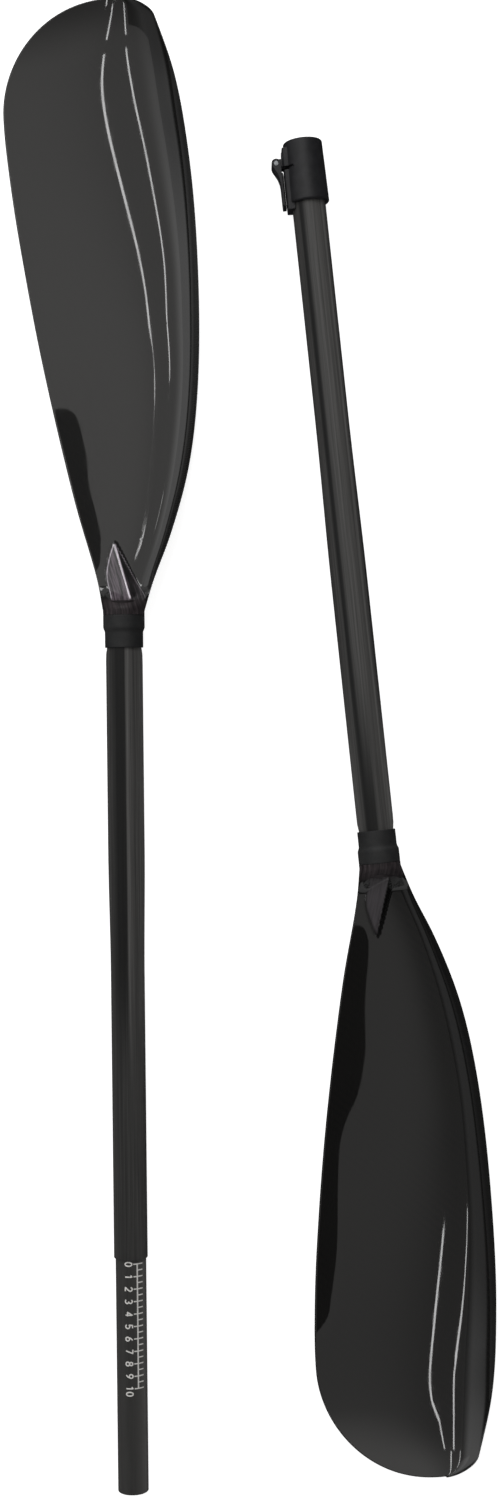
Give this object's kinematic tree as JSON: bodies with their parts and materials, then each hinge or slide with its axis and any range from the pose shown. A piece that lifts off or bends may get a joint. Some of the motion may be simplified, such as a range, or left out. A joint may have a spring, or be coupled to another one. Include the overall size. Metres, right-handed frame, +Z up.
{
  "type": "kayak paddle",
  "caption": "Two-piece adjustable kayak paddle with scooped wing blades on slim shafts, joined by a graduated ferrule and a lever clamp.",
  "frame": {"origin": "on the floor, under the middle of the box round the two halves as they lie side by side", "axes": "+Z up from the floor, +Y along the halves towards the left half's blade tip, +X from the left half to the right half"},
  "size_m": [0.3938, 1.1943, 0.048],
  "materials": {
    "gloss_carbon": "clear-coated carbon laminate, glossy",
    "shaft_carbon": "satin wound carbon",
    "ferrule_carbon": "smooth satin carbon",
    "black_rubber": "matt",
    "black_plastic": "moulded, fine grain",
    "bush_plastic": "smooth moulded",
    "pin_steel": "ground",
    "foam": "closed-cell foam",
    "scale_ink": "printed ink"
  },
  "bodies": {
    "left_half": {"left_blade_face": "gloss_carbon", "left_blade_back": "gloss_carbon", "left_blade_core": "foam", "left_shaft": "shaft_carbon", "left_neck_sleeve": "black_rubber", "left_shaft_plug": "foam", "ferrule_tube": "ferrule_carbon", "ferrule_plug": "black_plastic"},
    "bush": {"grip_bush": "bush_plastic"},
    "right_half": {"right_blade_face": "gloss_carbon", "right_blade_back": "gloss_carbon", "right_blade_core": "foam", "right_shaft": "shaft_carbon", "right_neck_sleeve": "black_rubber", "right_shaft_plug": "foam", "socket_plug": "foam", "clamp_collar": "black_plastic", "lever_pin": "pin_steel"},
    "lever": {"cam_lever": "black_plastic"},
    "shoe": {"pressure_shoe": "bush_plastic"}
  },
  "joints": [
    {"name": "length_slide", "type": "slide", "parent": "left_half", "child": "bush", "axis": [0.1054, -0.9941, 0.0271], "range_m": [0, 0.1]},
    {"name": "feather_turn", "type": "hinge", "parent": "bush", "child": "right_half", "pos_m": [0.04209, 0.48626, 0.01577], "axis": [0.1054, -0.9941, 0.0271], "continuous": true},
    {"name": "lever_hinge", "type": "hinge", "parent": "right_half", "child": "lever", "pos_m": [0.02111, 0.46695, 0.01623], "axis": [0.0029, -0.0269, -0.9996], "range_deg": [0, 110]},
    {"name": "shoe_slide", "type": "slide", "parent": "right_half", "child": "shoe", "axis": [-0.9944, -0.1054, 0], "range_m": [0, 0.0005]}
  ],
  "couplings": [
    {"joint": "shoe_slide", "follows": "lever_hinge", "m_per_rad": 0.00026}
  ]
}
